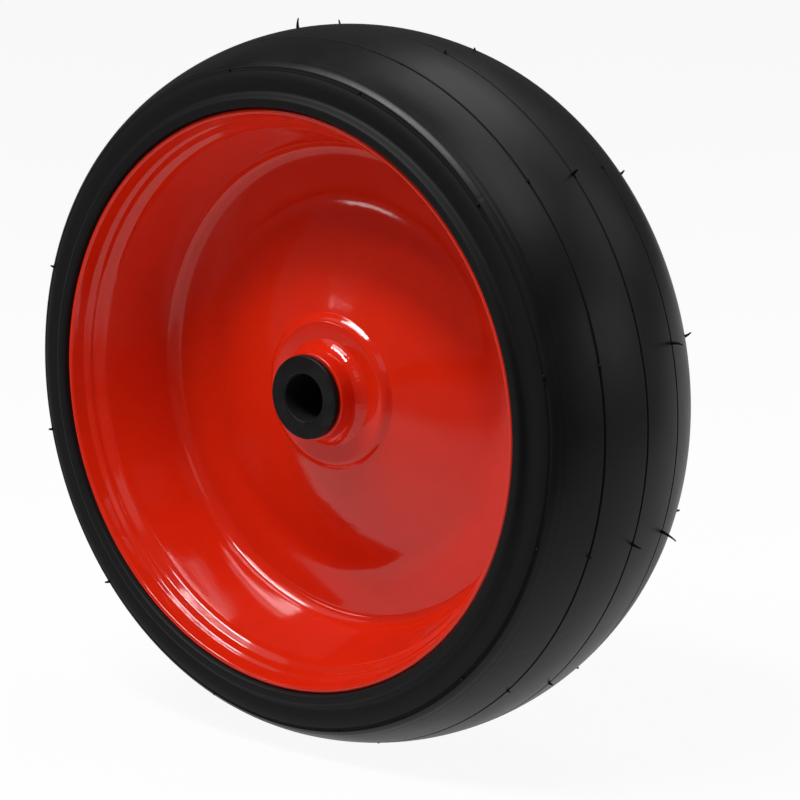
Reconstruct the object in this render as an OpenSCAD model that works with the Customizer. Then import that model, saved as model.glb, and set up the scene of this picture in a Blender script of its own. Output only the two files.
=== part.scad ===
// Planter press wheel: a hollow rubber tyre on two pressed half rims, with a plain-bushed hub.
// The axle runs along Y through the origin, Z is up and the front faces -Y.
// Every section is drawn as [radius, distance from the mid-plane] and turned about the axle.

/* [Tyre] */
// Outside diameter at the crown of the tread
tyre_d = 300; // [280:1:320]
// Overall width across the bead rings
tyre_w = 101; // [96:0.5:106]
// Height of the tyre's section above the rim's edge
tyre_h = 29.3; // [27:0.1:33]
// Distance of each sidewall behind the bead ring's face
wall_in = 3.1; // [2:0.1:5]
// Radius of the tread's crown, across its width
crown_r = 98; // [80:1:150]
// Rounding of each shoulder
shoulder_r = 10; // [6:0.5:12]
// Rubber thickness under the tread
crown_t = 12; // [9:0.5:14]
// Rubber thickness of each sidewall
wall_t = 8; // [6.5:0.1:10]
// Height of the bead ring above the rim's edge
bead_h = 4.6; // [3.5:0.1:6]
// Further rise of the bead ring to the foot of the sidewall
bead_rise = 1.8; // [1:0.1:3]
// Overhang of the bead ring past the rim's edge
bead_over = 1.6; // [1:0.1:3]
// Distance of the outer moulding lines from the middle one
line_pitch = 24; // [16:0.5:30]
// Width of a moulding line, a half-round groove
line_w = 1.1; // [0.6:0.1:1.6]
// Thickness of each foot at its toe
toe_t = 6; // [4:0.5:8]
// Width of each foot from the flange to its toe
foot_w = 14.7; // [11:0.1:18]
// Height of each foot's heel above the rim's edge
heel_h = 6.5; // [5:0.1:8]
// Diameter of the wire hoop in each foot
wire_d = 4; // [2.5:0.1:4.6]

/* [Rim] */
// Thickness of the pressed sheet
sheet_t = 2.5; // [2:0.1:3]
// Width of the near-straight lip
lip_w = 4.9; // [3.5:0.1:6]
// Flare of the lip and of the band behind it, in degrees from the axle
lip_flare = 16; // [10:1:20]
// Width of the small step behind the lip
lip_step_w = 1.6; // [1.4:0.1:2.4]
// Width of the band between the two steps
band_w = 2.3; // [2.2:0.1:4]
// Width of the large step next to the barrel
flange_step_w = 3.2; // [2.6:0.1:4.5]
// Slope of both steps, in degrees from the axle
step_slope = 45; // [38:1:48]
// Taper of the barrel, in degrees from the axle
barrel_taper = 16.5; // [12:0.5:20]
// Inner radius of the bends at the small step
lip_bend = 1.4; // [0.8:0.1:1.5]
// Inner radius of the bends at the large step
flange_bend = 3.6; // [2:0.1:3.8]
// Inner radius of the bend between barrel and disc
corner_bend = 7; // [4:0.5:10]

/* [Disc] */
// Width of the flat land between the barrel and the dome
land_w = 23.6; // [18:0.2:28]
// Inner radius of the bend at the land
land_bend = 30; // [10:1:32]
// Radial run of the dome's outer slope
dome_run = 22; // [18:0.5:26]
// Height of the dome's shoulder above the mid-plane
dome_h = 10.5; // [9:0.1:12]
// Diameter of the raised boss
boss_d = 61; // [56:1:66]
// Height of the boss above the mid-plane
boss_h = 19.6; // [18.6:0.2:21]
// Height of the step round the boss
step_h = 2.8; // [2.2:0.1:3.4]
// Radial width of the step round the boss
step_run = 2.5; // [2.2:0.1:4]
// Inner radius of the bends at the step
step_bend = 1.8; // [0.5:0.1:2.2]
// Width of the weld in the groove between the two pressings
seam_w = 6; // [3:0.2:8]
// Height of that weld's crown
seam_crown = 0.8; // [0.3:0.1:1.5]

/* [Hub] */
// Outside diameter of the hub tube
tube_d = 37; // [36:0.2:42]
// Length of the hub tube
tube_len = 62; // [56:1:80]
// Chamfer on the ends of the tube
tube_chamfer = 0.8; // [0.3:0.1:1.2]
// Leg of the fillet weld between tube and boss
weld_leg = 4; // [2.5:0.1:4.8]
// Hollow of the fillet's face below a straight one
weld_hollow = 0.4; // [0.2:0.1:0.7]
// Gap between the tube and the hole in each disc
hole_gap = 0.1; // [0.05:0.05:0.3]

/* [Bush] */
// Bore for the axle
bore_d = 20; // [16:0.5:24]
// Outside diameter of the bush's sleeve
bush_d = 28; // [26:0.2:30]
// Diameter of the bush's collar
collar_d = 34.8; // [32:0.2:36.4]
// Thickness of the collar
collar_t = 2.8; // [2:0.1:5]
// Chamfer at the mouth of the bore
bore_chamfer = 0.7; // [0.3:0.1:1.2]
// Rounding of the collar's outer edge
collar_round = 0.6; // [0.3:0.1:0.9]
// Radial running clearance between sleeve and tube
run_gap = 0.05; // [0.02:0.01:0.1]
// Gap between each collar and the end of the tube
end_gap = 0.2; // [0.1:0.05:0.4]

/* [Hidden] */
$fn = 96;
// Largest turn and longest chord between two points of a bend
bend_step = 9;
bend_chord = 5;
// Turn between two points of a sheet's end or of the collar's edge
edge_step = 30;
// Place of the disc's corner in the rim's path
corner_at = 5;
// Rounding of the bead ring, of the sidewall's foot, of each toe and of the air chamber's corners
bead_round = 1.6;
wall_bend = 2;
toe_round = 1.5;
chamber_round = 4;
// Height of the bead ring's inner edge above the rim's edge
bead_lift = 0.8;
// Share of the shoulder's bend at which its moulding line runs
shoulder_share = 0.5;
// Share of the dome's shorter side that its bend takes up
dome_share = 0.7;

// Rim and tread follow the tyre's own size
rim_d = tyre_d - 2 * tyre_h;
rim_w = tyre_w - 2 * bead_over;
tread_w = tyre_w - 2 * wall_in;

// Corners of the pressed sheet on its dish side, from the lip inwards
lip_end = [rim_d / 2 - sheet_t * cos(lip_flare), (rim_w - sheet_t) / 2];
lip_root = lip_end - lip_w * [tan(lip_flare), 1];
band_end = lip_root - lip_step_w * [tan(step_slope), 1];
band_root = band_end - band_w * [tan(lip_flare), 1];
flange_root = band_root - flange_step_w * [tan(step_slope), 1];
disc_corner = [flange_root[0] - (flange_root[1] - sheet_t) * tan(barrel_taper), sheet_t];
land_edge = disc_corner - [land_w, 0];
dome_edge = [land_edge[0] - dome_run, dome_h];
step_foot = [boss_d / 2 + step_run, boss_h - step_h];
boss_edge = [boss_d / 2, boss_h];
hole_edge = [tube_d / 2 + hole_gap, boss_h];

// Bend of the dome, as large as its two sides take
dome_in = dome_edge - step_foot;
dome_out = land_edge - dome_edge;
dome_turn = abs(atan2(cross(dome_in, dome_out), dome_in * dome_out));
dome_bend = dome_share * min(norm(dome_in), norm(dome_out)) / tan(dome_turn / 2);

// A path is a list of [radius, height, bend radius on the dish side]
rim_path = [
    [each hole_edge, 0],
    [each boss_edge, step_bend + sheet_t],
    [each step_foot, step_bend],
    [each dome_edge, dome_bend],
    [each land_edge, land_bend],
    [each disc_corner, corner_bend],
    [each flange_root, flange_bend + sheet_t],
    [each band_root, flange_bend],
    [each band_end, lip_bend + sheet_t],
    [each lip_root, lip_bend],
    [each lip_end, 0],
];

// The part of the barrel, the steps and the lip that the tyre's foot sits on
toe_h = flange_root[1] - foot_w;
toe_edge = [flange_root[0] - (flange_root[1] - toe_h) * tan(barrel_taper), toe_h];
seat_path = [
    [each toe_edge, 0],
    [each flange_root, flange_bend + sheet_t],
    [each band_root, flange_bend],
    [each band_end, lip_bend + sheet_t],
    [each lip_root, lip_bend],
    [each lip_end, 0],
];
seat = flank(seat_path, -sheet_t);

// Outside of the tyre, from the tread's edge to the rim
shoulder_start = tread_w / 2 - shoulder_r;
wall_path = [
    [each crown(shoulder_start), 0],
    [each crown(tread_w / 2), shoulder_r],
    [rim_d / 2 + bead_h + bead_rise, tread_w / 2, wall_bend],
    [rim_d / 2 + bead_h, tyre_w / 2, bead_round],
    [rim_d / 2 + bead_lift, tyre_w / 2, bead_round],
    [each seat[len(seat) - 1], 0],
];
shoulder_bend = bend(wall_path, 1, 0);
shoulder_line = shoulder_bend[round(shoulder_share * (len(shoulder_bend) - 1))];

// Inside of the tyre, from the toe to the ceiling of the air chamber
barrel_out = [cos(barrel_taper), -sin(barrel_taper)];
toe_top = seat[0] + toe_t * barrel_out;
heel = [rim_d / 2 + heel_h, tread_w / 2 - wall_t];
ceiling_start = heel[1] - 2 * chamber_round;
chamber_path = [
    [each seat[0], 0],
    [each toe_top, toe_round],
    [each heel, chamber_round],
    [each ceiling(ceiling_start), 0],
];
tyre_half = concat(
    crown_run(shoulder_start),
    rest(flank(wall_path, 0)),
    rest(turned(seat)),
    rest(flank(chamber_path, 0)),
    rest(ceiling_run(ceiling_start))
);

// The wire lies halfway through the foot, over the root of the flange
flange_back = seat[1];
foot_top = unit(heel - toe_top);
foot_t = cross(toe_top - flange_back, foot_top) / cross(barrel_out, foot_top);
wire_centre = flange_back + barrel_out * foot_t / 2;

// Unit vector, the vector to its left, and a vector turned by an angle
function unit(v) = v / norm(v);
function left(v) = [-v[1], v[0]];
function swung(v, a) = [v[0] * cos(a) - v[1] * sin(a), v[0] * sin(a) + v[1] * cos(a)];
function spot(p) = [p[0], p[1]];

// A list without its first entry, and a list in the other order
function rest(points) = [for (i = [1:len(points) - 1]) points[i]];
function turned(points) = [for (i = [len(points) - 1:-1:0]) points[i]];

// Points round corner i of a path, shifted to the path's left by s
function bend(path, i, s) =
    let (corner = spot(path[i]))
    let (way_in = unit(corner - spot(path[i - 1])))
    let (way_out = unit(spot(path[i + 1]) - corner))
    let (turn = atan2(cross(way_in, way_out), way_in * way_out))
    let (r = path[i][2])
    let (spoke = -left(way_in) * sign(turn))
    let (centre = corner - way_in * r * tan(abs(turn) / 2) - spoke * r)
    let (arc_len = r * abs(turn) * PI / 180)
    let (n = max(2, ceil(abs(turn) / bend_step), ceil(arc_len / bend_chord)))
    [for (k = [0:n]) centre + swung(spoke, turn * k / n) * (r - s * sign(turn))];

// A whole path with its bends, shifted to its left by s
function flank(path, s) =
    let (last = len(path) - 1)
    let (way_in = unit(spot(path[1]) - spot(path[0])))
    let (way_out = unit(spot(path[last]) - spot(path[last - 1])))
    concat(
        [spot(path[0]) + left(way_in) * s],
        [for (i = [1:last - 1]) each bend(path, i, s)],
        [spot(path[last]) + left(way_out) * s]
    );

// Half-round end between the two flanks of a sheet, without its end points
function nose(p, q) =
    let (middle = (p + q) / 2)
    [for (a = [edge_step:edge_step:180 - edge_step]) middle + swung(p - middle, -a)];

// The tread's crown, and the air chamber's ceiling under it, at distance w from the mid-plane
function crown(w) = [tyre_d / 2 - crown_r + sqrt(crown_r * crown_r - w * w), w];
function ceiling(w) = [tyre_d / 2 - crown_r + sqrt(pow(crown_r - crown_t, 2) - w * w), w];
function crown_run(w) =
    let (n = ceil(w / bend_chord))
    [for (k = [0:n]) crown(w * k / n)];
function ceiling_run(w) =
    let (n = ceil(w / bend_chord))
    [for (k = [n:-1:0]) ceiling(w * k / n)];

// A section turned about the axle, and the same piece on the other side
module lathe() {
    rotate([-90, 0, 0]) rotate_extrude() children();
}
module front() {
    mirror([0, 1, 0]) children();
}

module tyre() {
    mirrored = [for (i = [len(tyre_half) - 2:-1:1]) [tyre_half[i][0], -tyre_half[i][1]]];
    color([0.10, 0.10, 0.11]) lathe() difference() {
        polygon(concat(tyre_half, mirrored));
        translate(crown(0)) circle(d = line_w);
        for (side = [-1, 1]) {
            for (p = [crown(line_pitch), shoulder_line]) {
                translate([p[0], side * p[1]]) circle(d = line_w);
            }
            translate([wire_centre[0], side * wire_centre[1]]) circle(d = wire_d);
        }
    }
}

module bead_wire() {
    color([0.55, 0.54, 0.50]) lathe() translate(wire_centre) circle(d = wire_d);
}

module rim_half() {
    dish = flank(rim_path, 0);
    back = flank(rim_path, -sheet_t);
    lip = nose(dish[len(dish) - 1], back[len(back) - 1]);
    color([0.75, 0.06, 0.03]) lathe() polygon(concat(dish, lip, turned(back)));
}

// The weld fills the groove between the two corner bends up to its own width
module rim_seam_weld() {
    corner = bend(rim_path, corner_at, -sheet_t);
    groove = [for (p = corner) if (p[1] < seam_w / 2) p];
    low = groove[len(groove) - 1];
    high = corner[len(groove)];
    toe = low + (high - low) * (seam_w / 2 - low[1]) / (high[1] - low[1]);
    half = concat(groove, [toe]);
    crest = [toe[0] + seam_crown, 0];
    other = [for (p = turned(rest(half))) [p[0], -p[1]]];
    color([0.75, 0.06, 0.03]) lathe() polygon(concat(half, [crest], other));
}

module hub_tube() {
    outer = tube_d / 2;
    inner = bush_d / 2 + run_gap;
    end = tube_len / 2;
    color([0.75, 0.06, 0.03]) lathe() polygon([
        [inner, -end],
        [outer - tube_chamfer, -end],
        [outer, -end + tube_chamfer],
        [outer, end - tube_chamfer],
        [outer - tube_chamfer, end],
        [inner, end],
    ]);
}

// Fillet between the boss and the tube, with a slightly hollow face
module hub_weld() {
    foot = [tube_d / 2, boss_h];
    face_w = weld_leg * sqrt(2);
    face_r = (pow(face_w / 2, 2) + pow(weld_hollow, 2)) / (2 * weld_hollow);
    centre = foot + (weld_leg / 2 + (face_r - weld_hollow) / sqrt(2)) * [1, 1];
    half_turn = asin(face_w / 2 / face_r);
    n = max(2, ceil(2 * half_turn / bend_step));
    face = [for (k = [0:n]) centre + swung([0, -face_r], half_turn * (1 - 2 * k / n) - 45)];
    color([0.75, 0.06, 0.03]) lathe() polygon(concat([foot], face));
}

module bush() {
    bore = bore_d / 2;
    sleeve = bush_d / 2;
    collar = collar_d / 2;
    collar_back = tube_len / 2 + end_gap;
    face = collar_back + collar_t;
    edge = [collar - collar_round, face - collar_round];
    rounding = [for (a = [0:edge_step:90]) edge + collar_round * [cos(a), sin(a)]];
    color([0.13, 0.13, 0.14]) lathe() polygon(concat(
        [[bore, 0], [sleeve, 0], [sleeve, collar_back], [collar, collar_back]],
        rounding,
        [[bore + bore_chamfer, face], [bore, face - bore_chamfer]]
    ));
}

tyre();
front() bead_wire();  // front_bead_wire
bead_wire();  // rear_bead_wire
front() rim_half();  // front_rim_half
rim_half();  // rear_rim_half
rim_seam_weld();
hub_tube();
front() hub_weld();  // front_hub_weld
hub_weld();  // rear_hub_weld
front() bush();  // front_bush
bush();  // rear_bush
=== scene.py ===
# Planter press wheel: its finished surfaces, materials and studio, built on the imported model's frame.
from math import cos, radians, sin, tan

import bpy
import numpy as np
from mathutils import Matrix, Vector


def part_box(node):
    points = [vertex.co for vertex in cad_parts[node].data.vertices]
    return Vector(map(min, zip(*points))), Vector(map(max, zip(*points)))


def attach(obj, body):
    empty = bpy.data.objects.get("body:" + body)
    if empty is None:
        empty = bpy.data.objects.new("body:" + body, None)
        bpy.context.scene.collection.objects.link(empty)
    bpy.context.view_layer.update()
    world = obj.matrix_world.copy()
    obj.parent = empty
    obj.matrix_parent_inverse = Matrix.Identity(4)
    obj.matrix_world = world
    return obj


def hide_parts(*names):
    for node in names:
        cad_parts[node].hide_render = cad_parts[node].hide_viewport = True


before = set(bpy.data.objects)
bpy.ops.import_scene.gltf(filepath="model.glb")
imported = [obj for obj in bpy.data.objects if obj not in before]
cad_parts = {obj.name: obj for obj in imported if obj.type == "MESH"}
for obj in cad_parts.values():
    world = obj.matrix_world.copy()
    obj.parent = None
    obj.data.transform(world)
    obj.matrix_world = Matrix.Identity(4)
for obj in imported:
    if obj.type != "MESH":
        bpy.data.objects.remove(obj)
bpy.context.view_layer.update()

bl_info = {
    "name": "Planter press wheel",
    "version": (1, 0, 0),
    "blender": (4, 5, 0),
    "location": "3D View > Sidebar > Press wheel",
    "description": "Builds a dished steel press wheel with a smooth hollow rubber tyre",
    "category": "Object",
}

MM = 0.001
WHEEL = "wheel"
AXLE = "axle_bushes"
SIDES = (("front", -1), ("rear", 1))


def span(node, axis):
    """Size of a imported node's box along an axis, to a tenth of a millimetre."""
    low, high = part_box(node)
    return round(high[axis] - low[axis], 4)


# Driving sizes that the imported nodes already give, in metres
TYRE_D = span("tyre", 2)
TYRE_W = span("tyre", 1)
TUBE_D = span("hub_tube", 2)
TUBE_LEN = span("hub_tube", 1)
COLLAR_D = span("rear_bush", 2)
HUB_W = 2 * round(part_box("rear_bush")[1].y, 4)


# Properties

def length(name, description, default):
    """A length property in metres with its own name, note and default."""
    return bpy.props.FloatProperty(
        name=name, description=description, default=default, min=0.0, precision=5,
        subtype="DISTANCE", unit="LENGTH",
    )


def angle(name, description, degrees):
    """An angle property, kept in radians, with its default in degrees."""
    return bpy.props.FloatProperty(
        name=name, description=description, default=radians(degrees), subtype="ANGLE", unit="ROTATION",
    )


def colour(name, description, default):
    """A linear colour property without alpha."""
    return bpy.props.FloatVectorProperty(
        name=name, description=description, default=default, size=3, min=0.0, max=1.0, subtype="COLOR",
    )


class PressWheelTyre(bpy.types.PropertyGroup):
    """Sizes and colours of the tyre."""

    outside_d: length("Outside diameter", "Diameter at the crown of the tread", TYRE_D)
    width: length("Width", "Overall width across the bead rings", TYRE_W)
    tread_w: length("Tread width", "Width of the tread between its sidewalls", TYRE_W - 6.2 * MM)
    crown_r: length("Crown radius", "Radius of the tread across its width", 98 * MM)
    shoulder_r: length("Shoulder radius", "Rounding of each shoulder", 10 * MM)
    crown_t: length("Crown thickness", "Rubber under the tread", 12 * MM)
    wall_t: length("Wall thickness", "Rubber of each sidewall", 8 * MM)
    wall_bend: length("Wall bend", "Rounding of the sidewall's foot", 2 * MM)
    bead_h: length("Bead height", "Height of the bead ring above the rim's edge", 4.6 * MM)
    bead_rise: length("Bead rise", "Further rise of the bead ring to the sidewall's foot", 1.8 * MM)
    bead_lift: length("Bead lift", "Height of the bead ring's inner edge above the rim's edge", 0.8 * MM)
    bead_round: length("Bead rounding", "Rounding of the bead ring", 1.6 * MM)
    line_pitch: length("Line pitch", "Distance of the outer moulding lines from the middle one", 24 * MM)
    line_w: length("Line width", "Width of a moulding line", 1.1 * MM)
    line_depth: length("Line depth", "Depth of a moulding line", 0.8 * MM)
    crease_gap: length("Crease distance", "Distance of the shallow crease from the shoulder's line", 5 * MM)
    crease_w: length("Crease width", "Width of that crease", 3.4 * MM)
    crease_depth: length("Crease depth", "Depth of that crease", 0.12 * MM)
    toe_t: length("Toe thickness", "Thickness of each foot at its toe", 6 * MM)
    foot_w: length("Foot width", "Width of each foot from the flange to its toe", 14.7 * MM)
    heel_h: length("Heel height", "Height of each foot's heel above the rim's edge", 6.5 * MM)
    whisker_d: length("Whisker diameter", "Diameter of a vent whisker at its root", 1.6 * MM)
    whisker_count: bpy.props.IntProperty(
        name="Whiskers", description="Vent whiskers round each moulding line", default=12, min=1,
    )
    whisker_phase: angle("Whisker phase", "Angle of the first whisker above the X axis", 12.6)
    rubber: colour("Rubber", "Colour of the clean rubber", (0.0030, 0.0031, 0.0034))
    bloom: colour("Bloom", "Colour of the dull bloom on the rubber", (0.0062, 0.0065, 0.0072))


class PressWheelRim(bpy.types.PropertyGroup):
    """Sizes and colours of the two pressed half rims."""

    outside_d: length("Lip diameter", "Outside diameter of the lips", TYRE_D - 58.6 * MM)
    width: length("Width", "Width over the two lips", TYRE_W - 3.2 * MM)
    sheet: length("Sheet", "Thickness of the pressed sheet", 2.5 * MM)
    lip_w: length("Lip width", "Width of the near-straight lip", 4.9 * MM)
    lip_flare: angle("Lip flare", "Flare of the lip and of the band from the axle's direction", 16)
    lip_step_w: length("Lip step", "Width of the small step behind the lip", 1.6 * MM)
    band_w: length("Band width", "Width of the band between the two steps", 2.3 * MM)
    flange_step_w: length("Flange step", "Width of the large step next to the barrel", 3.2 * MM)
    step_slope: angle("Step slope", "Slope of both steps from the axle's direction", 45)
    barrel_taper: angle("Barrel taper", "Taper of the barrel from the axle's direction", 16.5)
    lip_bend: length("Lip bend", "Inner radius of the bends at the small step", 1.4 * MM)
    flange_bend: length("Flange bend", "Inner radius of the bends at the large step", 3.6 * MM)
    corner_bend: length("Corner bend", "Inner radius of the bend between barrel and disc", 7 * MM)
    land_w: length("Land width", "Width of the flat land between barrel and dome", 23.6 * MM)
    land_bend: length("Land bend", "Inner radius of the bend at the land", 30 * MM)
    dome_run: length("Dome run", "Radial run of the dome's outer slope", 22 * MM)
    dome_h: length("Dome height", "Height of the dome's shoulder above the mid-plane", 10.5 * MM)
    boss_d: length("Boss diameter", "Diameter of the raised boss", 61 * MM)
    boss_h: length("Boss height", "Height of the boss above the mid-plane", 19.6 * MM)
    step_h: length("Step height", "Height of the step round the boss", 2.8 * MM)
    step_run: length("Step run", "Radial width of the step round the boss", 2.5 * MM)
    step_bend: length("Step bend", "Inner radius of the bends at the step", 1.8 * MM)
    paint: colour("Paint", "Colour of the enamel", (0.66, 0.0180, 0.0034))
    thin_paint: colour("Thin paint", "Colour of the enamel where it lies thinner", (0.62, 0.0165, 0.0031))


class PressWheelHub(bpy.types.PropertyGroup):
    """Sizes and colours of the tube, its welds and the bushes."""

    tube_d: length("Tube diameter", "Outside diameter of the hub tube", TUBE_D)
    tube_len: length("Tube length", "Length of the hub tube", TUBE_LEN)
    tube_round: length("Tube rounding", "Rounding of the tube's outer edges", 0.8 * MM)
    hole_gap: length("Hole gap", "Gap between the tube and the hole in each disc", 0.1 * MM)
    weld_leg: length("Weld leg", "Leg of the fillet weld between tube and boss", 4 * MM)
    weld_hollow: length("Weld hollow", "Hollow of the fillet's face below a straight one", 0.4 * MM)
    weld_ripple: length("Weld ripple", "Height of the weld's ripples", 0.06 * MM)
    bore_d: length("Bore", "Bore for the axle", 20 * MM)
    bush_d: length("Sleeve diameter", "Outside diameter of the bush's sleeve", 28 * MM)
    run_gap: length("Running gap", "Clearance between sleeve and tube", 0.05 * MM)
    end_gap: length("End gap", "Gap between each collar and the tube's end", 0.2 * MM)
    collar_d: length("Collar diameter", "Diameter of the bush's collar", COLLAR_D)
    hub_w: length("Hub width", "Width over the two collars", HUB_W)
    collar_round: length("Collar rounding", "Rounding of the collar's edge", 0.6 * MM)
    bore_chamfer: length("Bore chamfer", "Chamfer at the mouth of the bore", 0.7 * MM)
    plastic: colour("Plastic", "Colour of the bushes", (0.0036, 0.0036, 0.0039))
    steel: colour("Steel", "Colour of the bead wires", (0.46, 0.45, 0.43))


class PressWheelStage(bpy.types.PropertyGroup):
    """Camera, floor and light."""

    azimuth: angle("Azimuth", "Turn of the camera from the front towards +X", 40.42)
    elevation: angle("Elevation", "Height of the camera above the axle's level", 12.13)
    distance: length("Distance", "Distance of the camera from the wheel's centre", 1.666)
    lens: bpy.props.FloatProperty(
        name="Lens", description="Focal length in mm on a 36 mm frame", default=180.0,
    )
    floor_w: length("Floor width", "Width of the square floor", 24.0)
    floor: colour("Floor", "Colour of the floor", (0.92, 0.92, 0.92))
    sky: colour("Room light", "Colour of the light from all round", (0.04, 0.04, 0.042))


def settings(context):
    """The four property groups of the scene."""
    scene = context.scene
    return scene.press_wheel_tyre, scene.press_wheel_rim, scene.press_wheel_hub, scene.press_wheel_stage


# Sections, as complex numbers: radius + distance from the mid-plane * 1j

# Largest turn between two points of a bend, and the fewest steps in one
BEND_STEP = radians(5)
FEWEST_STEPS = 4
# Longest straight step of a section, and the shortest one across the tread
LONGEST = 2.5 * MM
SHORTEST = 0.04 * MM
# Share of a step that is left out of account when steps are counted
ROUND_OFF = 1e-6
# Faces round the axle
RIM_SEGMENTS = 320
TYRE_SEGMENTS = 252
HUB_SEGMENTS = 192
WELD_SEGMENTS = 384
# Points in the half-round lip, on the crown, on the chamber's ceiling, across a crease and on a weld's face
LIP_POINTS = 13
CROWN_POINTS = 160
CEILING_POINTS = 10
CREASE_POINTS = 9
WELD_POINTS = 19
# Points in the rounding of an outer edge, of a hidden edge and of the bore's mouth
EDGE_POINTS = 7
HIDDEN_POINTS = 4
MOUTH_POINTS = 6
# Rounding of hidden edges, of each foot's toe and of the air chamber's corners
HIDDEN_ROUND = 0.3 * MM
TOE_ROUND = 1.5 * MM
CHAMBER_ROUND = 4 * MM
# Longest straight step of a bush's section
BUSH_STEP = 1 * MM
# Steps across the tread, and the stretch about the shoulder's line that has the fine ones
COARSE_STEP = 2.2 * MM
FINE_STEP = 0.8 * MM
FINE_BEFORE = 9 * MM
FINE_AFTER = 5 * MM
# Places of the points across a moulding line, in halves of its width
LINE_PLACES = np.array([-1.4, -1, -0.92, -0.72, -0.4, 0, 0.4, 0.72, 0.92, 1, 1.4])
# Depth of a weld's root under its corner, and how far its face runs on into tube and boss
WELD_ROOT = 0.3 * MM
WELD_OVERRUN = 1.2
# Share of the dome's shorter side that its bend takes up
DOME_SHARE = 0.7
# Depth of the shoulder's moulding line beside that of the others
SHOULDER_LINE = 0.35
# Place of the flange's root in the rim's corners
FLANGE = 6


def flank(path, shift=0.0):
    """A path of (corner, bend radius) with an arc at each inner corner, moved to its left.

    At a corner that turns by t, the arc of radius b starts b tan(|t| / 2) before the corner, and its
    centre lies b to the inner side. Moving the path left by s leaves the centre and makes the radius
    b - s on a left turn, or b + s on a right turn.
    """
    at = np.array([corner for corner, _ in path])
    way = np.diff(at) / np.abs(np.diff(at))
    runs = [at[:1] + 1j * way[0] * shift]
    for i in range(1, len(path) - 1):
        turn = float(np.angle(way[i] / way[i - 1]))
        side = np.sign(turn)
        bend = path[i][1]
        spoke = -1j * way[i - 1] * side
        centre = at[i] - way[i - 1] * bend * tan(abs(turn) / 2) - spoke * bend
        share = np.linspace(0, 1, max(FEWEST_STEPS, int(np.ceil(abs(turn) / BEND_STEP))) + 1)
        runs.append(centre + spoke * np.exp(1j * turn * share) * (bend - shift * side))
    runs.append(at[-1:] + 1j * way[-1] * shift)
    return np.concatenate(runs)


def arc(centre, radius, first, last, count):
    """Points on a circle from one angle to another, both in degrees."""
    return centre + radius * np.exp(1j * np.radians(np.linspace(first, last, count)))


def along(points):
    """Length from the first point to each point of a section."""
    return np.concatenate([[0.0], np.cumsum(np.abs(np.diff(points)))])


def sampled(points, places):
    """Points of a section at given lengths from its start, by straight interpolation."""
    run = along(points)
    return np.interp(places, run, points.real) + 1j * np.interp(places, run, points.imag)


def filled(points, longest=LONGEST):
    """A section with its long straight runs split, so that no step is over the longest one."""
    run = along(points)
    parts = np.maximum(1, np.ceil(np.diff(run) / longest - ROUND_OFF)).astype(int)
    which = np.repeat(np.arange(len(parts)), parts)
    step = np.arange(len(which)) - np.repeat(np.cumsum(parts) - parts, parts)
    places = run[which] + step / parts[which] * np.diff(run)[which]
    return sampled(points, np.append(places, run[-1]))


def other_side(points, side):
    """The section itself for the rear, or mirrored in the mid-plane for the front."""
    return points if side > 0 else np.conj(points)


def rim_corners(rim, hub):
    """Corners and bends of the pressed sheet on its dish side, from the hole to the lip.

    A run of width w at an angle s from the axle's direction goes w along the axle and w tan(s) out.
    """
    flare, slope = complex(tan(rim.lip_flare), 1), complex(tan(rim.step_slope), 1)
    lip_end = complex(rim.outside_d / 2 - rim.sheet * cos(rim.lip_flare), (rim.width - rim.sheet) / 2)
    lip_root = lip_end - rim.lip_w * flare
    band_end = lip_root - rim.lip_step_w * slope
    band_root = band_end - rim.band_w * flare
    flange_root = band_root - rim.flange_step_w * slope
    corner = complex(flange_root.real - (flange_root.imag - rim.sheet) * tan(rim.barrel_taper), rim.sheet)
    land = corner - rim.land_w
    dome = complex(land.real - rim.dome_run, rim.dome_h)
    foot = complex(rim.boss_d / 2 + rim.step_run, rim.boss_h - rim.step_h)
    dome_turn = abs(np.angle((land - dome) / (dome - foot)))
    dome_bend = DOME_SHARE * min(abs(dome - foot), abs(land - dome)) / tan(dome_turn / 2)
    return [
        (complex(hub.tube_d / 2 + hub.hole_gap, rim.boss_h), 0),
        (complex(rim.boss_d / 2, rim.boss_h), rim.step_bend + rim.sheet),
        (foot, rim.step_bend),
        (dome, dome_bend),
        (land, rim.land_bend),
        (corner, rim.corner_bend),
        (flange_root, rim.flange_bend + rim.sheet),
        (band_root, rim.flange_bend),
        (band_end, rim.lip_bend + rim.sheet),
        (lip_root, rim.lip_bend),
        (lip_end, 0),
    ]


def rim_section(rim, hub):
    """The pressed sheet: its dish side, a half-round lip and its back, one sheet thickness apart."""
    corners = rim_corners(rim, hub)
    dish = flank(corners)
    back = flank(corners, -rim.sheet)
    middle = (dish[-1] + back[-1]) / 2
    first = np.degrees(np.angle(dish[-1] - middle))
    nose = arc(middle, rim.sheet / 2, first, first - 180, LIP_POINTS)[1:-1]
    return np.concatenate([filled(dish), nose, filled(back[::-1])])


def crown(tyre, w, t=0.0):
    """The tread's crown, or the chamber's ceiling t under it, at distances w from the mid-plane.

    The crown's radius c has its centre at D / 2 - c from the axle, where D is the outside diameter, so
    the radius is D / 2 - c + sqrt((c - t)^2 - w^2).
    """
    centre = tyre.outside_d / 2 - tyre.crown_r
    return centre + np.sqrt((tyre.crown_r - t) ** 2 - w ** 2) + 1j * w


def tyre_seat(tyre, rim, hub):
    """The back of the barrel, steps and lip that the tyre's foot sits on, from its toe outwards."""
    corners = rim_corners(rim, hub)[FLANGE:]
    toe = corners[0][0] - tyre.foot_w * complex(tan(rim.barrel_taper), 1)
    return flank([(toe, 0), *corners], -rim.sheet)


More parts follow.
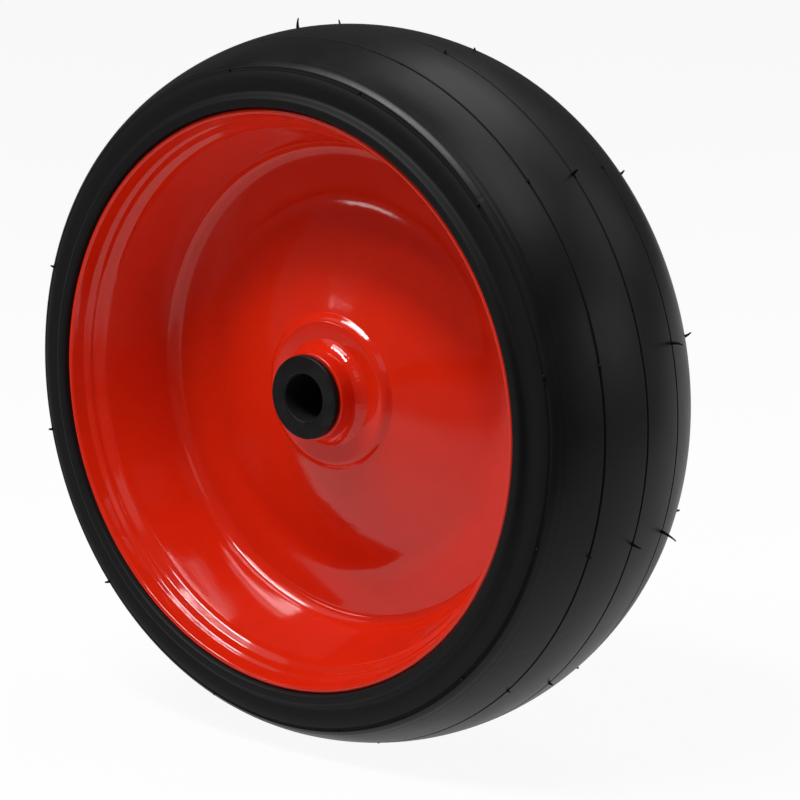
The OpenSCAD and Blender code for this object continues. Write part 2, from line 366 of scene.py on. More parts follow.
def tyre_outside(tyre, rim, hub):
    """Half the tyre's outside from the mid-plane to the rim, and its length up to each moulding line.

    The crown of radius c is met at the distance w after the length c arcsin(w / c). The shoulder's bend
    of radius b and turn t is halfway at b (tan(t / 2) - t / 2) before its corner.
    """
    tread = crown(tyre, np.linspace(0, tyre.tread_w / 2 - tyre.shoulder_r, CROWN_POINTS))
    edge = rim.outside_d / 2
    vertex = complex(crown(tyre, tyre.tread_w / 2))
    foot = complex(edge + tyre.bead_h + tyre.bead_rise, tyre.tread_w / 2)
    wall = flank([
        (tread[-1], 0),
        (vertex, tyre.shoulder_r),
        (foot, tyre.wall_bend),
        (complex(edge + tyre.bead_h, tyre.width / 2), tyre.bead_round),
        (complex(edge + tyre.bead_lift, tyre.width / 2), tyre.bead_round),
        (tyre_seat(tyre, rim, hub)[-1], 0),
    ])
    turn = abs(np.angle((foot - vertex) / (vertex - tread[-1])))
    reach = along(tread)[-1] + abs(vertex - tread[-1])
    shoulder = reach - tyre.shoulder_r * (tan(turn / 2) - turn / 2)
    pitch = tyre.crown_r * np.arcsin(tyre.line_pitch / tyre.crown_r)
    return np.concatenate([tread, wall[1:]]), np.array([0.0, pitch, shoulder])


def outward_way(outline, places):
    """Unit vectors out of an outline: its chord at given lengths, turned right by a quarter."""
    run = along(outline)
    reach = 0.2 * MM
    after = sampled(outline, np.minimum(places + reach, run[-1]))
    way = after - sampled(outline, np.maximum(places - reach, 0))
    return -1j * way / np.abs(way)


def tread_places(tyre, run, line_at):
    """Lengths along the tyre's outside at which its section has points, closer at lines and shoulder."""
    shoulder = line_at[-1]
    coarse = np.arange(0, shoulder - FINE_BEFORE, COARSE_STEP)
    fine = np.arange(shoulder - FINE_BEFORE, shoulder + FINE_AFTER, FINE_STEP)
    wall = run[run > shoulder + FINE_AFTER]
    crease = shoulder - tyre.crease_gap + tyre.crease_w / 2 * np.linspace(-1, 1, CREASE_POINTS)
    lines = (line_at[:, None] + tyre.line_w / 2 * LINE_PLACES).ravel()
    places = np.concatenate([coarse, fine, wall, crease, lines])
    places = np.unique(places[(places >= 0) & (places <= run[-1])])
    return places[np.insert(np.diff(places) > SHORTEST, 0, True)]


def tyre_section(tyre, rim, hub):
    """The tyre: outside with its lines and creases, then the seat on the rim and the air chamber.

    A moulding line of half width a and depth d is the groove d sqrt(1 - (s / a)^2) at the distance s
    from its middle. A crease of half width b is as deep as depth cos^2(pi s / 2b).
    """
    outline, line_at = tyre_outside(tyre, rim, hub)
    places = tread_places(tyre, along(outline), line_at)
    off_line = (places[:, None] - line_at) / (tyre.line_w / 2)
    grooves = tyre.line_depth * np.sqrt(np.maximum(0, 1 - off_line ** 2))
    crease_at = line_at[-1] - tyre.crease_gap
    off_crease = np.clip((places - crease_at) / (tyre.crease_w / 2), -1, 1)
    creases = tyre.crease_depth * np.cos(np.pi / 2 * off_crease) ** 2
    depth = grooves @ np.array([1.0, 1.0, SHOULDER_LINE]) + creases
    outside = sampled(outline, places) - outward_way(outline, places) * depth
    seat = tyre_seat(tyre, rim, hub)
    toe_top = seat[0] + tyre.toe_t * np.exp(-1j * rim.barrel_taper)
    heel = complex(rim.outside_d / 2 + tyre.heel_h, tyre.tread_w / 2 - tyre.wall_t)
    ceiling = crown(tyre, np.linspace(heel.imag - 2 * CHAMBER_ROUND, 0, CEILING_POINTS), tyre.crown_t)
    chamber = flank([(seat[0], 0), (toe_top, TOE_ROUND), (heel, CHAMBER_ROUND), (ceiling[0], 0)])
    half = np.concatenate([outside[:-1], seat[::-1], chamber[1:], ceiling[1:]])
    return np.concatenate([half, np.conj(half[-2:0:-1])])


def tube_section(hub):
    """The hub tube with its rounded ends, from one end to the other."""
    outer, inner = hub.tube_d / 2, hub.bush_d / 2 + hub.run_gap
    end, edge = hub.tube_len / 2, hub.tube_round
    half = np.concatenate([
        [complex(outer, 0)],
        arc(complex(outer - edge, end - edge), edge, 0, 90, EDGE_POINTS),
        arc(complex(inner + HIDDEN_ROUND, end - HIDDEN_ROUND), HIDDEN_ROUND, 90, 180, HIDDEN_POINTS),
    ])
    return filled(np.concatenate([np.conj(half[:0:-1]), half]))


def weld_section(rim, hub):
    """The fillet between tube and boss: its root, then a face that is hollow by an arc.

    A face of width w that is hollow by s is an arc of radius (w^2 / 4 + s^2) / 2s, and its middle lies
    at 225 degrees from the arc's centre.
    """
    leg, hollow = hub.weld_leg, hub.weld_hollow
    corner = complex(hub.tube_d / 2, rim.boss_h)
    face_r = (leg ** 2 / 2 + hollow ** 2) / (2 * hollow)
    centre = corner + (leg / 2 + (face_r - hollow) / 2 ** 0.5) * (1 + 1j)
    reach = WELD_OVERRUN * np.degrees(np.arcsin(leg / 2 ** 0.5 / face_r))
    face = arc(centre, face_r, 225 + reach, 225 - reach, WELD_POINTS)
    return np.concatenate([[corner - WELD_ROOT * (1 + 1j)], face])


def bush_section(hub):
    """The bush from the mid-plane: its sleeve, its collar and the rounded mouth of its bore."""
    bore, sleeve, collar = hub.bore_d / 2, hub.bush_d / 2, hub.collar_d / 2
    back, face = hub.tube_len / 2 + hub.end_gap, hub.hub_w / 2
    edge, mouth = hub.collar_round, hub.bore_chamfer
    return filled(np.concatenate([
        [complex(bore, 0), complex(sleeve, 0), complex(sleeve, back)],
        arc(complex(collar - HIDDEN_ROUND, back + HIDDEN_ROUND), HIDDEN_ROUND, -90, 0, HIDDEN_POINTS),
        arc(complex(collar - edge, face - edge), edge, 0, 90, EDGE_POINTS),
        arc(complex(bore + mouth, face - mouth), mouth, 90, 180, MOUTH_POINTS),
    ]), BUSH_STEP)


# Meshes

# Start of the random draws for the welds, and the share of a ripple's height along radius and axle
WELD_SEED = 11
RIPPLE_SHARE = 0.7
# Waves of the ripples in a turn, and how far and how often in a turn their places wander
RIPPLE_WAVES = 26
RIPPLE_WANDER = 0.8
WANDER_WAVES = 3
# Swells round a weld, each as waves in a turn and size, and their share in the lift
SWELLS = ((3, 1.0), (5, 0.7), (11, 0.5))
SWELL_SHARE = 0.8


def mesh_piece(name, points, *faces):
    """A smooth mesh object from an array of points and arrays of faces with equal corners."""
    mesh = bpy.data.meshes.new(name)
    corners = np.concatenate([f.ravel() for f in faces]).astype(np.int32)
    sizes = np.concatenate([np.full(len(f), f.shape[1]) for f in faces])
    mesh.vertices.add(len(points))
    mesh.vertices.foreach_set("co", np.ascontiguousarray(points, np.float32).ravel())
    mesh.loops.add(len(corners))
    mesh.loops.foreach_set("vertex_index", corners)
    mesh.polygons.add(len(sizes))
    mesh.polygons.foreach_set("loop_start", (np.cumsum(sizes) - sizes).astype(np.int32))
    mesh.polygons.foreach_set("use_smooth", np.ones(len(sizes), bool))
    mesh.update(calc_edges=True)
    if mesh.validate():
        raise RuntimeError(f"{name} has broken faces")
    piece = bpy.data.objects.new(name, mesh)
    bpy.context.scene.collection.objects.link(piece)
    return piece


def grid_faces(rows, columns):
    """Quads of a grid that closes on itself both ways: rows round the axle, columns round the section."""
    i, j = np.meshgrid(np.arange(rows), np.arange(columns), indexing="ij")
    i_next, j_next = (i + 1) % rows, (j + 1) % columns
    quads = [i * columns + j, i * columns + j_next, i_next * columns + j_next, i_next * columns + j]
    return np.stack(quads, -1).reshape(-1, 4)


def tube_faces(tubes, rings, corners):
    """Quads between the rings of separate tubes, and the two caps of each tube."""
    tube, ring, corner = np.meshgrid(
        np.arange(tubes), np.arange(rings - 1), np.arange(corners), indexing="ij",
    )
    low = (tube * rings + ring) * corners
    high = low + corners
    corner_next = (corner + 1) % corners
    quads = np.stack([low + corner, low + corner_next, high + corner_next, high + corner], -1)
    first = np.arange(tubes)[:, None] * rings * corners
    last = first + (rings - 1) * corners
    caps = np.concatenate([first + np.arange(corners)[::-1], last + np.arange(corners)])
    return quads.reshape(-1, 4), caps


def carried_round(r, h, a):
    """Points at radius r and height h, carried round Y: x = r cos a, y = h, z = r sin a."""
    return np.stack([r * np.cos(a), h + 0 * a, r * np.sin(a)], -1)


def lathe(name, section, segments, shaped=None):
    """A closed section carried round Y, from +X towards +Z.

    The section runs with its inside on the left, so that faces point out. Where shaped is given, it
    moves the radius and height of each point by its angle.
    """
    if np.sum(np.imag(np.conj(section) * np.roll(section, -1))) < 0:
        section = section[::-1]
    a = np.linspace(0, 2 * np.pi, segments, endpoint=False)[:, None]
    r = np.broadcast_to(section.real, (segments, len(section)))
    h = np.broadcast_to(section.imag, (segments, len(section)))
    if shaped:
        r, h = shaped(a, r, h)
    points = carried_round(r, h, a).reshape(-1, 3)
    return mesh_piece(name, points, grid_faces(segments, len(section)))


def weld_ripple(rim, hub, side):
    """Gives the move of a weld's points, square to its face and strongest halfway up the fillet.

    At the angle a, the lift is the ripple's height times 4 u v (|sin(n a)| + the share of the swells),
    with n waves in a turn, and u and v the point's rise and reach from the corner in legs.
    """
    chance = np.random.default_rng(WELD_SEED + side)
    *swell_phases, phase = chance.uniform(0, 2 * np.pi, len(SWELLS) + 1)

    def rippled(a, r, h):
        """Lifts each point square to the fillet's face."""
        swell = sum(size * np.sin(n * a + start) for (n, size), start in zip(SWELLS, swell_phases))
        wave = np.abs(np.sin(RIPPLE_WAVES * a + phase + RIPPLE_WANDER * np.sin(WANDER_WAVES * a)))
        rise = np.abs(h) - rim.boss_h
        out = r - hub.tube_d / 2
        face = np.clip(rise / hub.weld_leg, 0, 1) * np.clip(out / hub.weld_leg, 0, 1) * 4
        lift = face * hub.weld_ripple * (wave + SWELL_SHARE * swell)
        return r + lift * RIPPLE_SHARE, h + side * lift * RIPPLE_SHARE

    return rippled


def finished(piece, body, material, slot, *nodes):
    """Gives a piece its material, sets it on its body, and lets it stand for CAD nodes; the slot is not
    used.
    """
    piece.data.materials.append(material)
    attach(piece, body)
    if nodes:
        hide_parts(*nodes)


def dressed(node, material):
    """Gives a CAD node that keeps its shape a better material."""
    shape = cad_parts[node]
    shape.data.materials.clear()
    shape.data.materials.append(material)


# Materials

class Signal:
    """One output of a material; arithmetic on it adds Math nodes."""

    def __init__(self, finish, socket):
        self.finish = finish
        self.socket = socket

    def maths(self, operation, *values):
        """Adds a Math node."""
        return self.finish.node("ShaderNodeMath", {"operation": operation}, dict(enumerate(values)))

    def __add__(self, other):
        return self.maths("ADD", self, other)

    def __radd__(self, other):
        return self.maths("ADD", other, self)

    def __sub__(self, other):
        return self.maths("SUBTRACT", self, other)

    def __rsub__(self, other):
        return self.maths("SUBTRACT", other, self)

    def __mul__(self, other):
        return self.maths("MULTIPLY", self, other)

    def __rmul__(self, other):
        return self.maths("MULTIPLY", other, self)

    def __truediv__(self, other):
        return self.maths("DIVIDE", self, other)

    def __abs__(self):
        return self.maths("ABSOLUTE", self)


def smaller(first, second):
    """The smaller of two outputs."""
    return first.maths("MINIMUM", first, second)


def larger(first, second):
    """The larger of two outputs."""
    return first.maths("MAXIMUM", first, second)


RAYS = ("Camera", "Glossy", "Transmission")


class Finish:
    """The node tree of a material or world, built up socket by socket."""

    def __init__(self, owner):
        self.owner = bpy.data.materials.new(owner) if isinstance(owner, str) else owner
        self.owner.use_nodes = True
        self.tree = self.owner.node_tree
        self.tree.nodes.clear()

    def node(self, kind, options=None, values=None, output=0):
        """Adds a node, sets its options, then the values or links of its sockets; gives one output."""
        made = self.tree.nodes.new(kind)
        for key, value in (options or {}).items():
            setattr(made, key, value)
        for key, value in (values or {}).items():
            if isinstance(value, Signal):
                self.tree.links.new(value.socket, made.inputs[key])
            else:
                made.inputs[key].default_value = value
        return Signal(self, made.outputs[output]) if made.outputs else None

    def place(self):
        """Object coordinates in metres."""
        return self.node("ShaderNodeTexCoord", output="Object")

    def rays(self):
        """Whether a ray is the camera's, a mirror's or one through glass."""
        return [self.node("ShaderNodeLightPath", output=f"Is {kind} Ray") for kind in RAYS]

    def noise(self, vector, scale, detail=2.0, distortion=0.0):
        """Noise of about 0.5 on the average."""
        values = {"Vector": vector, "Scale": scale, "Detail": detail, "Distortion": distortion}
        return self.node("ShaderNodeTexNoise", None, values)

    def eased(self, value, low, high, to_low=0.0, to_high=1.0):
        """A smooth step from to_low at low to to_high at high."""
        values = {0: value, 1: low, 2: high, 3: to_low, 4: to_high}
        return self.node("ShaderNodeMapRange", {"interpolation_type": "SMOOTHSTEP"}, values)

    def mixed(self, share, first, second):
        """A colour between two colours."""
        return self.node("ShaderNodeMix", {"data_type": "RGBA"}, {0: share, 6: first, 7: second}, output=2)

    def bump(self, height, distance, under=None):
        """A normal from a height of the given depth in metres, over another one."""
        values = {"Strength": 1.0, "Distance": distance, "Height": height}
        if under:
            values["Normal"] = under
        return self.node("ShaderNodeBump", None, values)

    def surface(self, values):
        """Ends the material with a Principled shader and gives the material."""
        shader = self.node("ShaderNodeBsdfPrincipled", None, values)
        self.node("ShaderNodeOutputMaterial", None, {"Surface": shader})
        return self.owner


def opaque(shade):
    """A colour with full alpha."""
    return (*shade, 1.0)


# Distances from the mid-plane at which the tread's finish ends and the walls' begins, where the plain
# darker rubber is painted shade
TREAD_END = 45 * MM
WALL_START = 47 * MM
# Distances from the middle of a moulding line at which its painted shade and rougher finish begin to fade
# and end
GROOVE_FADE = 0.45 * MM
GROOVE_END = 0.7 * MM
# Width over which the matt finish of the bore fades into its mouth
BORE_FADE = 0.3 * MM


def red_enamel(rim):
    """Gloss red enamel on pressed steel: slightly uneven in tone, with fine orange peel."""
    finish = Finish("red_enamel")
    place = finish.place()
    slow = finish.noise(place, scale=16.0, detail=3.0)
    fine = finish.noise(place, scale=130.0, detail=2.0)
    peel = finish.noise(place, scale=480.0, detail=1.0)
    sheet = finish.noise(place, scale=42.0, detail=1.0)
    share = finish.eased(slow * 0.75 + fine * 0.25, low=0.35, high=0.65)
    waved = finish.bump(sheet, distance=0.25 * MM)
    return finish.surface({
        "Base Color": finish.mixed(share, opaque(rim.thin_paint), opaque(rim.paint)),
        "Roughness": 0.06 + fine * 0.06,
        "Specular IOR Level": 0.5,
        "Normal": finish.bump(peel, distance=0.02 * MM, under=waved),
    })


def tyre_rubber(tyre, lines):
    """Black moulded rubber: dull bloom, turned mould marks and faint flow lines, with plain matt walls; the
    bloom is kept off the walls and moulding lines, which paints shade into them.
    """
    finish = Finish("moulded_rubber")
    place = finish.place()
    across = abs(finish.node("ShaderNodeSeparateXYZ", None, {0: place}, output=1))
    wall = finish.eased(across, TREAD_END, WALL_START)
    off_line = abs(across - lines[0])
    for line in lines[1:]:
        off_line = smaller(off_line, abs(across - line))
    # Mask of the moulding lines: painted shade in the grooves, as darker and rougher rubber
    groove_shade = finish.eased(off_line, GROOVE_FADE, GROOVE_END, to_low=1.0, to_high=0.0)
    stretched = finish.node("ShaderNodeMapping", None, {"Vector": place, "Scale": (6.0, 700.0, 6.0)})
    marks = finish.noise(stretched, scale=1.0, detail=2.0)
    cloud = finish.noise(place, scale=22.0, detail=4.0)
    speck = finish.noise(place, scale=900.0, detail=2.0)
    turned = finish.node("ShaderNodeMapping", None, {
        "Vector": place, "Rotation": (0.5, 0.3, 0.9), "Scale": (1.0, 0.35, 1.0),
    })
    flow = finish.noise(turned, scale=14.0, detail=1.0, distortion=0.2)
    crease = finish.eased(abs(flow - 0.5), low=0.0, high=0.014, to_low=1.0, to_high=0.0) * (1 - wall)
    # Random bloom, kept off the recessed walls and the moulding lines so that these show the plain darker
    # rubber as painted shade
    bloom = finish.eased(cloud * 0.8 + speck * 0.2, low=0.35, high=0.68) * (1 - wall) * (1 - groove_shade)
    grain = finish.bump(speck, distance=0.012 * MM)
    lined = finish.bump(marks * (1 - wall), distance=0.012 * MM, under=grain)
    return finish.surface({
        "Base Color": finish.mixed(bloom, opaque(tyre.rubber), opaque(tyre.bloom)),
        "Roughness": 0.35 + bloom * 0.08 + wall * 0.27 + (marks - 0.5) * 0.08 + groove_shade * 0.45,
        "Specular IOR Level": 0.25,
        "Normal": finish.bump(1 - crease, distance=0.025 * MM, under=lined),
    })


def bush_plastic(hub):
    """Black machined plastic with faint turning marks round the axle, matt inside its bore."""
    finish = Finish("turned_plastic")
    place = finish.place()
    flat = finish.node("ShaderNodeVectorMath", {"operation": "MULTIPLY"}, {0: place, 1: (1.0, 0.0, 1.0)})
    radius = finish.node("ShaderNodeVectorMath", {"operation": "LENGTH"}, {0: flat}, output=1)
    rings = finish.node("ShaderNodeTexNoise", {"noise_dimensions": "1D"}, {"W": radius, "Scale": 2200.0})
    cloud = finish.noise(place, scale=160.0, detail=3.0)
    dust = finish.eased(cloud, low=0.42, high=0.72)
    bore = hub.bore_d / 2
    inside = finish.eased(radius, bore, bore + BORE_FADE, to_low=1.0, to_high=0.0)
    dusty = tuple(2.2 * part for part in hub.plastic)
    return finish.surface({
        "Base Color": finish.mixed(dust, opaque(hub.plastic), opaque(dusty)),
        "Roughness": 0.34 + rings * 0.12 + inside * 0.5,
        "Specular IOR Level": 0.22,
        "Normal": finish.bump(rings, distance=0.02 * MM),
    })


def drawn_steel(hub):
    """Bright drawn steel wire with fine streaks."""
    finish = Finish("drawn_steel")
    place = finish.place()
    streaks = finish.noise(place, scale=700.0, detail=3.0)
    darker = tuple(0.7 * part for part in hub.steel)
    return finish.surface({
        "Base Color": finish.mixed(streaks, opaque(hub.steel), opaque(darker)),
        "Metallic": 1.0,
        "Roughness": 0.28 + streaks * 0.2,
        "Normal": finish.bump(streaks, distance=0.02 * MM),
    })


def made_once(name, make, *sizes):
    """A material by its name, made the first time that it is asked for."""
    return bpy.data.materials.get(name) or make(*sizes)


def rubber_of(tyre, rim, hub):
    """The tyre's material, with its moulding lines at their distances from the mid-plane."""
    outline, line_at = tyre_outside(tyre, rim, hub)
    return made_once("moulded_rubber", tyre_rubber, tyre, sampled(outline, line_at).imag)


# Operators

class PRESSWHEEL_OT_tyre(bpy.types.Operator):
    """Builds the hollow rubber tyre with its moulding lines"""

    bl_idname = "press_wheel.tyre"
    bl_label = "Tyre"

    def execute(self, context):
        tyre, rim, hub, _ = settings(context)
        skin = lathe("moulded_tyre", tyre_section(tyre, rim, hub), TYRE_SEGMENTS)
        finished(skin, WHEEL, rubber_of(tyre, rim, hub), "tyre_rubber", "tyre")
        return {"FINISHED"}


# Lengths of the whiskers in mm: a row for each moulding line from the front, an entry for each angle
WHISKER_LENGTHS = (
    (3.0, 1.5, 1.2, 1.5, 1.2, 2.2, 2.0, 2.2, 1.2, 0.8, 1.2, 1.5),
    (1.5, 1.2, 0.8, 1.0, 1.2, 1.0, 1.2, 1.0, 0.8, 0.6, 1.4, 2.0),
    (1.0, 5.0, 1.6, 4.3, 1.5, 3.0, 1.2, 2.0, 0.8, 0.6, 2.0, 4.5),
    (6.0, 1.2, 1.6, 4.3, 2.0, 3.5, 1.5, 4.0, 0.8, 0.6, 1.0, 7.0),
    (3.5, 3.0, 1.2, 1.0, 2.5, 1.8, 3.0, 1.2, 0.8, 0.6, 1.5, 3.0),
)
# Start of the random draws, then the spread of the whiskers' angles in radians and of their lean
WHISKER_SEED = 31
WHISKER_SPREAD = 0.008
WHISKER_LEAN = 0.45
# Depth of a whisker's root in the tread, the share of its thickness lost at its tip, and its mesh
WHISKER_ROOT = 0.3 * MM
WHISKER_TAPER = 0.6
WHISKER_RINGS = 5
WHISKER_CORNERS = 6
# A slanting direction from which the whiskers' rings are turned
OBLIQUE = np.array([0.31, 0.52, 0.79])


class PRESSWHEEL_OT_whiskers(bpy.types.Operator):
    """Sets the thin rubber whiskers, left by the mould's vents, along the moulding lines"""

    bl_idname = "press_wheel.whiskers"
    bl_label = "Vent whiskers"

    def execute(self, context):
        """Each whisker is a tapered tube: p(t) = root + L (n t + lean t^2 / 2), t from 0 to 1."""
        tyre, rim, hub, _ = settings(context)
        chance = np.random.default_rng(WHISKER_SEED)
        outline, line_at = tyre_outside(tyre, rim, hub)
        # Lines from the front: shoulder, outer, middle, outer and shoulder
        runs = line_at[[2, 1, 0, 1, 2]]
        sides = np.array([-1, -1, 1, 1, 1])
        root = sampled(outline, runs)
        out = outward_way(outline, runs)
        # The middle line's whiskers stand straight out
        out[2] = 1.0
        count = tyre.whisker_count
        shape = (len(runs), count)
        each = 2 * np.pi / count * np.arange(count)
        a = tyre.whisker_phase + each + chance.normal(0, WHISKER_SPREAD, shape)
        start = carried_round(root.real[:, None], (sides * root.imag)[:, None], a)
        normal = carried_round(out.real[:, None], (sides * out.imag)[:, None], a)
        lean = chance.normal(0, WHISKER_LEAN, shape + (3,))
        lean -= normal * np.sum(lean * normal, -1, keepdims=True)
        lengths = np.array(WHISKER_LENGTHS)
        size = lengths[:, np.arange(count) % lengths.shape[1]].reshape(-1, 1, 1) * MM
        start, normal, lean = (v.reshape(-1, 1, 3) for v in (start, normal, lean))
        t = np.linspace(0, 1, WHISKER_RINGS)[:, None]
        middle = start - normal * WHISKER_ROOT + size * (normal * t + lean * t ** 2 / 2)
        across = np.cross(normal, OBLIQUE)
        across /= np.linalg.norm(across, axis=-1, keepdims=True)
        up = np.cross(normal, across)
        turn = np.linspace(0, 2 * np.pi, WHISKER_CORNERS, endpoint=False)[:, None]
        ring = across * np.cos(turn) + up * np.sin(turn)
        radius = tyre.whisker_d / 2 * (1 - WHISKER_TAPER * t)
        points = middle[:, :, None, :] + ring[:, None] * radius[None, :, None, :]
        quads, caps = tube_faces(len(points), WHISKER_RINGS, WHISKER_CORNERS)
        hairs = mesh_piece("tyre_vent_whiskers", points.reshape(-1, 3), quads, caps)
        finished(hairs, WHEEL, rubber_of(tyre, rim, hub), "tyre_rubber")
        return {"FINISHED"}


class PRESSWHEEL_OT_rims(bpy.types.Operator):
    """Builds the two pressed half rims and paints the weld between them"""

    bl_idname = "press_wheel.rims"
    bl_label = "Half rims"

    def execute(self, context):
        _, rim, hub, _ = settings(context)
        paint = made_once("red_enamel", red_enamel, rim)
        section = rim_section(rim, hub)
        for word, side in SIDES:
            pressing = lathe(f"{word}_pressing", other_side(section, side), RIM_SEGMENTS)
            finished(pressing, WHEEL, paint, "red_paint", f"{word}_rim_half")
        dressed("rim_seam_weld", paint)
        return {"FINISHED"}


class PRESSWHEEL_OT_hub(bpy.types.Operator):
    """Builds the hub tube with its rounded ends and the two rippled fillet welds"""

    bl_idname = "press_wheel.hub"
    bl_label = "Hub tube and welds"

    def execute(self, context):
        _, rim, hub, _ = settings(context)
        paint = made_once("red_enamel", red_enamel, rim)
        tube = lathe("hub_sleeve", tube_section(hub), HUB_SEGMENTS)
        finished(tube, WHEEL, paint, "red_paint", "hub_tube")
        section = weld_section(rim, hub)
        for word, side in SIDES:
            ripple = weld_ripple(rim, hub, side)
            bead = lathe(f"{word}_fillet", other_side(section, side), WELD_SEGMENTS, ripple)
            finished(bead, WHEEL, paint, "red_paint", f"{word}_hub_weld")
        return {"FINISHED"}


class PRESSWHEEL_OT_bushes(bpy.types.Operator):
    """Builds the two collared plastic bushes"""

    bl_idname = "press_wheel.bushes"
    bl_label = "Bushes"

    def execute(self, context):
        _, _, hub, _ = settings(context)
        plastic = made_once("turned_plastic", bush_plastic, hub)
        section = bush_section(hub)
        for word, side in SIDES:
            bush = lathe(f"{word}_collar_bush", other_side(section, side), HUB_SEGMENTS)
            finished(bush, AXLE, plastic, "bush_plastic", f"{word}_bush")
        return {"FINISHED"}


class PRESSWHEEL_OT_wires(bpy.types.Operator):
    """Gives the hoops in the tyre's feet their steel"""

    bl_idname = "press_wheel.wires"
    bl_label = "Bead wires"

    def execute(self, context):
        _, _, hub, _ = settings(context)
        for word, _ in SIDES:
            dressed(f"{word}_bead_wire", made_once("drawn_steel", drawn_steel, hub))
        return {"FINISHED"}


# Lamps: name, azimuth and elevation in degrees, distance, width and height in metres, and watts
LAMPS = (
    ("top_softbox", -9, 64.5, 1.5, 1.0, 0.18, 16.5),
    ("front_softbox", -17, 53.5, 1.5, 0.75, 0.13, 4.4),
    ("left_softbox", -40, 45, 1.5, 0.8, 0.8, 1.2),
    ("spark_lamp", -37, 11, 1.8, 0.3, 0.12, 0.6),
    ("camera_softbox", 41, 30, 1.6, 0.5, 0.5, 0.4),
    ("right_softbox", 108, 60, 1.6, 0.8, 0.8, 4),
    ("side_softbox", 120, 12, 1.8, 0.9, 0.6, 2.4),
    ("back_softbox", 150, 30, 1.8, 0.9, 0.7, 1.5),
    ("rear_softbox", 185, 60, 1.7, 0.9, 0.9, 5),
)
WHITE = (1.0, 1.0, 1.0, 1.0)
DARK_FLOOR = (0.1, 0.1, 0.1, 1.0)
# Share of white in the floor for the camera, and for mirrors that see it behind the wheel
CAMERA_WHITE = 0.93
BEHIND_WHITE = 0.9
# Share of white in the room for mirrors
ROOM_WHITE = 0.05
# Shares of white in the floor for mirrors near the wheel and in a wide ring, and the distances from its
# centre between which each fades out
NEAR_WHITE = 0.2
WIDE_WHITE = 0.5
NEAR_FADE = (0.2, 0.32)
WIDE_FADE = (0.6, 1.1)
# Distances towards the camera, and slants away from it, between which that light fades
FRONT_FADE = (0.25, 0.45)
BEHIND_FADE = (-0.2, -0.7)
# Width of the camera's frame in mm, its shift as shares of that width, and how far it sees in metres
SENSOR_W = 36.0
SHIFT_X = 0.0535
SHIFT_Y = -0.0193
FARTHEST = 100.0


def bearing(azimuth, elevation):
    """Unit vector at a turn from the front, -Y, towards +X, and a height above the level."""
    return Vector((sin(azimuth) * cos(elevation), -cos(azimuth) * cos(elevation), sin(elevation)))


def pale_floor(stage):
    """Matt floor with a shadow: white to the camera, and to mirrors bright near and behind the wheel."""
    finish = Finish("pale_floor")
    camera, glossy, clear = finish.rays()
    place = finish.place()
    reach = finish.node("ShaderNodeVectorMath", {"operation": "LENGTH"}, {0: place}, output=1)
    depth = finish.node("ShaderNodeVectorMath", {"operation": "DOT_PRODUCT"}, {
        0: place, 1: bearing(stage.azimuth, 0.0),
    }, output=1)
    wide = finish.eased(reach, *WIDE_FADE, to_low=WIDE_WHITE, to_high=0.0)
    near = wide + finish.eased(reach, *NEAR_FADE, to_low=NEAR_WHITE, to_high=0.0)
    front = finish.eased(depth, *FRONT_FADE, to_low=1.0, to_high=0.0)
    behind = finish.eased(depth / reach, *BEHIND_FADE)
    seen = (camera + clear) * CAMERA_WHITE + glossy * larger(near * front, behind * BEHIND_WHITE)
    # Mirrors see the floor in a dark colour away from its white patches, a painted dark reflection
    shade = finish.mixed(glossy, opaque(stage.floor), DARK_FLOOR)
    matt = finish.node("ShaderNodeBsdfDiffuse", None, {"Color": shade})
    white = finish.node("ShaderNodeEmission", None, {"Color": WHITE, "Strength": 1.0})
    both = finish.node("ShaderNodeMixShader", None, {0: seen, 1: matt, 2: white})
    finish.node("ShaderNodeOutputMaterial", None, {"Surface": both})
    return finish.owner


def pale_room(stage):
    """Dim light from all round, which the camera sees as white."""
    world = bpy.data.worlds.new("room")
    finish = Finish(world)
    camera, glossy, clear = finish.rays()
    dim = finish.node("ShaderNodeBackground", None, {"Color": opaque(stage.sky)})
    white = finish.node("ShaderNodeBackground", None, {"Color": WHITE})
    seen = camera + clear + glossy * ROOM_WHITE
    both = finish.node("ShaderNodeMixShader", None, {0: seen, 1: dim, 2: white})
    finish.node("ShaderNodeOutputWorld", None, {"Surface": both})
    return world


def soft_lamp(name, azimuth, elevation, distance, width, height, watts):
    """A rectangular lamp on a sphere about the wheel, turned to its centre; angles in degrees."""
    data = bpy.data.lights.new(name, "AREA")
    data.shape = "RECTANGLE"
    data.size, data.size_y, data.energy = width, height, watts
    lamp = bpy.data.objects.new(name, data)
    lamp.location = distance * bearing(radians(azimuth), radians(elevation))
    lamp.rotation_euler = lamp.location.to_track_quat("Z", "Y").to_euler()
    bpy.context.scene.collection.objects.link(lamp)


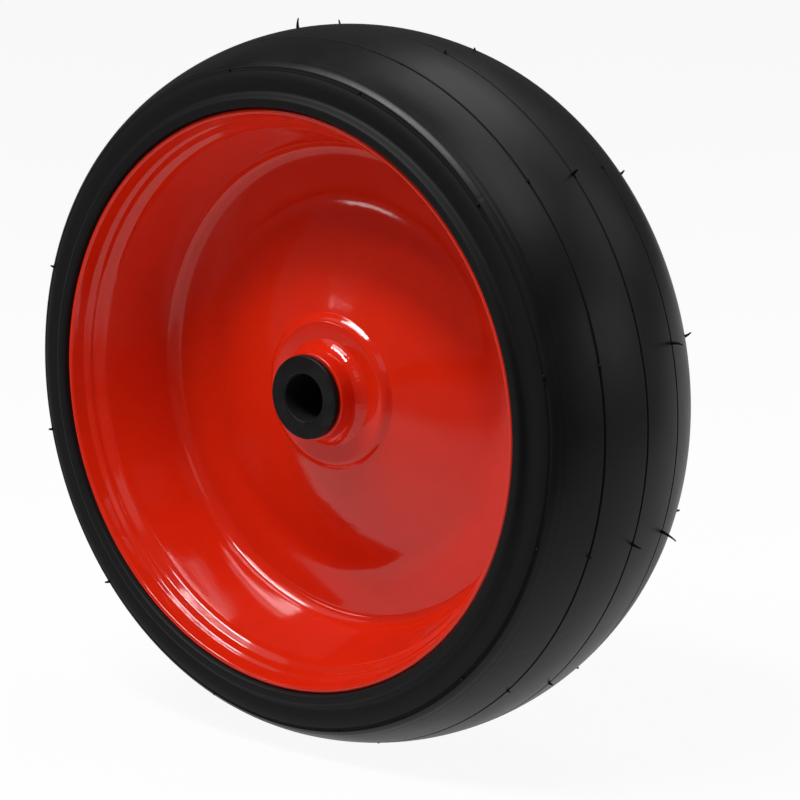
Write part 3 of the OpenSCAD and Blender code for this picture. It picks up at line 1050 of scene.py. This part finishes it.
class PRESSWHEEL_OT_stage(bpy.types.Operator):
    """Sets the floor, the soft studio light and the camera"""

    bl_idname = "press_wheel.stage"
    bl_label = "Stage"

    def execute(self, context):
        tyre, _, _, stage = settings(context)
        corners = np.array([(-1, -1), (1, -1), (1, 1), (-1, 1)]) * stage.floor_w / 2
        spots = np.column_stack([corners, np.full(len(corners), -tyre.outside_d / 2)])
        floor = mesh_piece("studio_floor", spots, np.array([[0, 1, 2, 3]]))
        floor.data.materials.append(pale_floor(stage))
        for lamp in LAMPS:
            soft_lamp(*lamp)
        context.scene.world = pale_room(stage)
        data = bpy.data.cameras.new("camera")
        data.lens, data.sensor_width = stage.lens, SENSOR_W
        data.shift_x, data.shift_y = SHIFT_X, SHIFT_Y
        data.clip_end = FARTHEST
        camera = bpy.data.objects.new("camera", data)
        toward = bearing(stage.azimuth, stage.elevation)
        right = Vector((cos(stage.azimuth), sin(stage.azimuth), 0.0))
        turn = Matrix((right, toward.cross(right), toward)).transposed()
        camera.matrix_world = Matrix.Translation(toward * stage.distance) @ turn.to_4x4()
        context.scene.collection.objects.link(camera)
        context.scene.camera = camera
        context.scene.view_settings.view_transform = "Standard"
        return {"FINISHED"}


class PRESSWHEEL_PT_panel(bpy.types.Panel):
    """Lists the wheel's settings and the steps that build it"""

    bl_idname = "PRESSWHEEL_PT_panel"
    bl_label = "Press wheel"
    bl_space_type = "VIEW_3D"
    bl_region_type = "UI"
    bl_category = "Press wheel"

    def draw(self, context):
        for step in STEPS:
            self.layout.operator(step.bl_idname)
        for group in settings(context):
            box = self.layout.box()
            for key in group.__annotations__:
                box.prop(group, key)


GROUPS = {
    "press_wheel_tyre": PressWheelTyre,
    "press_wheel_rim": PressWheelRim,
    "press_wheel_hub": PressWheelHub,
    "press_wheel_stage": PressWheelStage,
}
STEPS = (
    PRESSWHEEL_OT_tyre,
    PRESSWHEEL_OT_whiskers,
    PRESSWHEEL_OT_rims,
    PRESSWHEEL_OT_hub,
    PRESSWHEEL_OT_bushes,
    PRESSWHEEL_OT_wires,
    PRESSWHEEL_OT_stage,
)


def register():
    """Registers the settings, the steps and the panel."""
    for key, group in GROUPS.items():
        bpy.utils.register_class(group)
        setattr(bpy.types.Scene, key, bpy.props.PointerProperty(type=group))
    for step in (*STEPS, PRESSWHEEL_PT_panel):
        bpy.utils.register_class(step)


def unregister():
    """Takes them out again in the other order."""
    for step in (PRESSWHEEL_PT_panel, *reversed(STEPS)):
        bpy.utils.unregister_class(step)
    for key, group in reversed(GROUPS.items()):
        delattr(bpy.types.Scene, key)
        bpy.utils.unregister_class(group)


def main():
    """Builds the whole wheel."""
    register()
    bpy.ops.press_wheel.tyre()
    bpy.ops.press_wheel.whiskers()
    bpy.ops.press_wheel.rims()
    bpy.ops.press_wheel.hub()
    bpy.ops.press_wheel.bushes()
    bpy.ops.press_wheel.wires()
    bpy.ops.press_wheel.stage()


if __name__ == "__main__":
    main()
